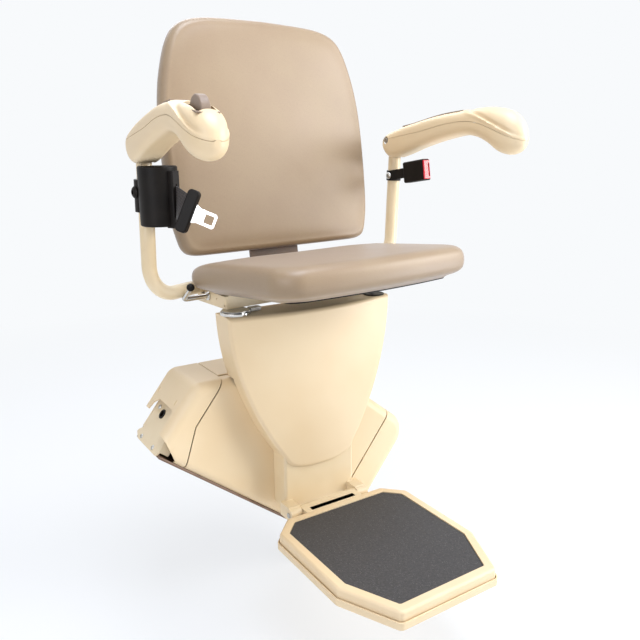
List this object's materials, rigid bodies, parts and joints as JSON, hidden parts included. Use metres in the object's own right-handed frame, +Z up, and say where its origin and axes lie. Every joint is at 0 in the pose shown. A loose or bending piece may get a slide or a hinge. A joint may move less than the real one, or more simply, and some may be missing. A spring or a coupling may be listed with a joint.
{
  "type": "stairlift chair",
  "caption": "Straight stairlift chair: rail carriage, pedestal, folding footrest, swivel seat with folding cushion and arms, and a lap belt.",
  "frame": {"origin": "on the centre line of the rail, in the rail's middle plane, where it crosses below the middle of the footrest", "axes": "+X horizontal along the stairs towards the lower landing, -Y the way the rider faces when riding, +Z up; the rail drops towards +X at 38.3 degrees"},
  "size_m": [0.6535, 0.5949, 1.0511],
  "materials": {
    "cream_abs": "fine moulded grain",
    "vinyl": "grained upholstery vinyl",
    "cream_paint": "powder coat, satin",
    "dark_plastic": "moulded, fine grain",
    "taupe_plastic": "soft-touch moulding, matt",
    "brown_steel": "dark paint, satin",
    "bright_steel": "zinc plated",
    "chrome_steel": "polished plate",
    "mat_rubber": "speckled, ribbed",
    "bush_bronze": "machined",
    "nylon": "machined",
    "red_plastic": "polished moulding",
    "webbing": "woven polyester",
    "gear_metal": "as cast",
    "motor_paint": "satin",
    "battery_case": "moulded",
    "circuit_board": "laminate"
  },
  "bodies": {
    "carriage": {"chassis": "brown_steel", "front_cover": "cream_abs", "top_cover": "cream_abs", "end_plates": "cream_paint", "hand_wind_socket": "dark_plastic", "housing_screws": "bright_steel", "motor": "motor_paint", "gearbox": "gear_metal", "batteries": "battery_case", "control_board": "circuit_board", "charge_contacts": "dark_plastic", "pedestal_frame": "brown_steel", "shield_cover": "cream_abs", "pedestal_back_cover": "cream_abs", "column": "cream_paint", "footrest_hinge_pin": "bright_steel", "swivel_disc": "chrome_steel", "swivel_bush": "bush_bronze", "blanking_disc": "dark_plastic"},
    "upper_end_cover": {"end_cover_upper": "cream_abs"},
    "lower_end_cover": {"end_cover_lower": "cream_abs"},
    "roller_upper_top": {"roller_upper_top": "nylon"},
    "roller_upper_bottom": {"roller_upper_bottom": "nylon"},
    "roller_lower_top": {"roller_lower_top": "nylon"},
    "roller_lower_bottom": {"roller_lower_bottom": "nylon"},
    "drive_pinion": {"drive_pinion": "bright_steel"},
    "footrest": {"footrest_frame": "cream_abs", "footrest_mat": "mat_rubber", "footrest_hinge_plate": "cream_paint"},
    "safety_pan": {"footrest_pan": "cream_abs"},
    "seat": {"swivel_plate": "bright_steel", "seat_base": "cream_paint", "arm_frame": "cream_paint", "back_bracket": "brown_steel", "backrest_board": "cream_abs", "backrest_cushion": "vinyl", "arm_pivot_pins": "bright_steel", "retractor_case": "dark_plastic", "retractor_bolt": "dark_plastic", "belt_webbing": "webbing", "tongue_grip": "dark_plastic", "tongue_plate": "chrome_steel", "buckle_strap": "dark_plastic", "buckle_body": "dark_plastic", "buckle_screw": "bright_steel"},
    "seat_pad": {"seat_board": "dark_plastic", "seat_cushion": "vinyl", "seat_peg": "mat_rubber"},
    "lever": {"swivel_lever": "chrome_steel", "lever_knob": "dark_plastic"},
    "latch": {"swivel_latch": "bright_steel"},
    "arm_left": {"arm_left_upper": "cream_abs", "arm_left_lower": "cream_abs", "arm_left_pad": "taupe_plastic", "toggle_bezel": "cream_abs"},
    "arm_right": {"arm_right_upper": "cream_abs", "arm_right_lower": "cream_abs", "arm_right_pad": "taupe_plastic"},
    "toggle": {"control_toggle": "taupe_plastic"},
    "buckle_press": {"buckle_button": "red_plastic"}
  },
  "joints": [
    {"name": "upper_cover_press", "type": "slide", "parent": "carriage", "child": "upper_end_cover", "axis": [0.7848, 0, -0.6198], "range_m": [0, 0.002], "stiffness_N_per_m": 1500, "springref_m": -0.004},
    {"name": "lower_cover_press", "type": "slide", "parent": "carriage", "child": "lower_end_cover", "axis": [-0.7848, 0, 0.6198], "range_m": [0, 0.002], "stiffness_N_per_m": 1500, "springref_m": -0.004},
    {"name": "roller_upper_top_spin", "type": "hinge", "parent": "carriage", "child": "roller_upper_top", "pos_m": [-0.1706, 0, 0.19462], "axis": [0, 1, 0], "continuous": true},
    {"name": "roller_upper_bottom_spin", "type": "hinge", "parent": "carriage", "child": "roller_upper_bottom", "pos_m": [-0.22886, 0, 0.12085], "axis": [0, 1, 0], "continuous": true},
    {"name": "roller_lower_top_spin", "type": "hinge", "parent": "carriage", "child": "roller_lower_top", "pos_m": [0.06484, 0, 0.00869], "axis": [0, 1, 0], "continuous": true},
    {"name": "roller_lower_bottom_spin", "type": "hinge", "parent": "carriage", "child": "roller_lower_bottom", "pos_m": [0.00658, 0, -0.06508], "axis": [0, 1, 0], "continuous": true},
    {"name": "pinion_spin", "type": "hinge", "parent": "carriage", "child": "drive_pinion", "pos_m": [-0.05296, 0, 0.10155], "axis": [0, 1, 0], "continuous": true},
    {"name": "footrest_fold", "type": "hinge", "parent": "carriage", "child": "footrest", "pos_m": [0, -0.232, 0.021], "axis": [-1, 0, 0], "range_deg": [0, 85]},
    {"name": "pan_press", "type": "slide", "parent": "footrest", "child": "safety_pan", "axis": [0, 0, 1], "range_m": [0, 0.004], "stiffness_N_per_m": 600, "springref_m": -0.003},
    {"name": "seat_swivel", "type": "hinge", "parent": "carriage", "child": "seat", "pos_m": [-0.15, -0.166, 0.415], "axis": [0, 0, 1], "range_deg": [-85, 0]},
    {"name": "seat_fold", "type": "hinge", "parent": "seat", "child": "seat_pad", "pos_m": [-0.00336, -0.12105, 0.484], "axis": [-0.9962, -0.0872, 0], "range_deg": [0, 75]},
    {"name": "swivel_lever_turn", "type": "hinge", "parent": "seat", "child": "lever", "pos_m": [-0.16914, -0.0964, 0.43], "axis": [0.9962, 0.0872, 0], "range_deg": [0, 25], "stiffness_Nm_per_rad": 0.6, "springref_deg": -14.32},
    {"name": "latch_slide", "type": "slide", "parent": "seat", "child": "latch", "axis": [0.9962, 0.0872, 0], "range_m": [0, 0.005]},
    {"name": "arm_left_fold", "type": "hinge", "parent": "seat", "child": "arm_left", "pos_m": [-0.28413, -0.12453, 0.705], "axis": [-0.9997, -0.0262, 0], "range_deg": [0, 90]},
    {"name": "arm_right_fold", "type": "hinge", "parent": "seat", "child": "arm_right", "pos_m": [0.27374, -0.07573, 0.705], "axis": [-0.989, -0.1478, 0], "range_deg": [0, 90]},
    {"name": "toggle_rock", "type": "hinge", "parent": "arm_left", "child": "toggle", "pos_m": [-0.28034, -0.34551, 0.738], "axis": [-0.0262, 0.9997, 0], "range_deg": [-12, 12], "stiffness_Nm_per_rad": 0.3},
    {"name": "buckle_press", "type": "slide", "parent": "seat", "child": "buckle_press", "axis": [-0.0863, 0.9865, -0.1392], "range_m": [0, 0.003], "stiffness_N_per_m": 600, "springref_m": -0.002}
  ],
  "couplings": [
    {"joint": "latch_slide", "follows": "swivel_lever_turn", "m_per_rad": 0.011402}
  ]
}
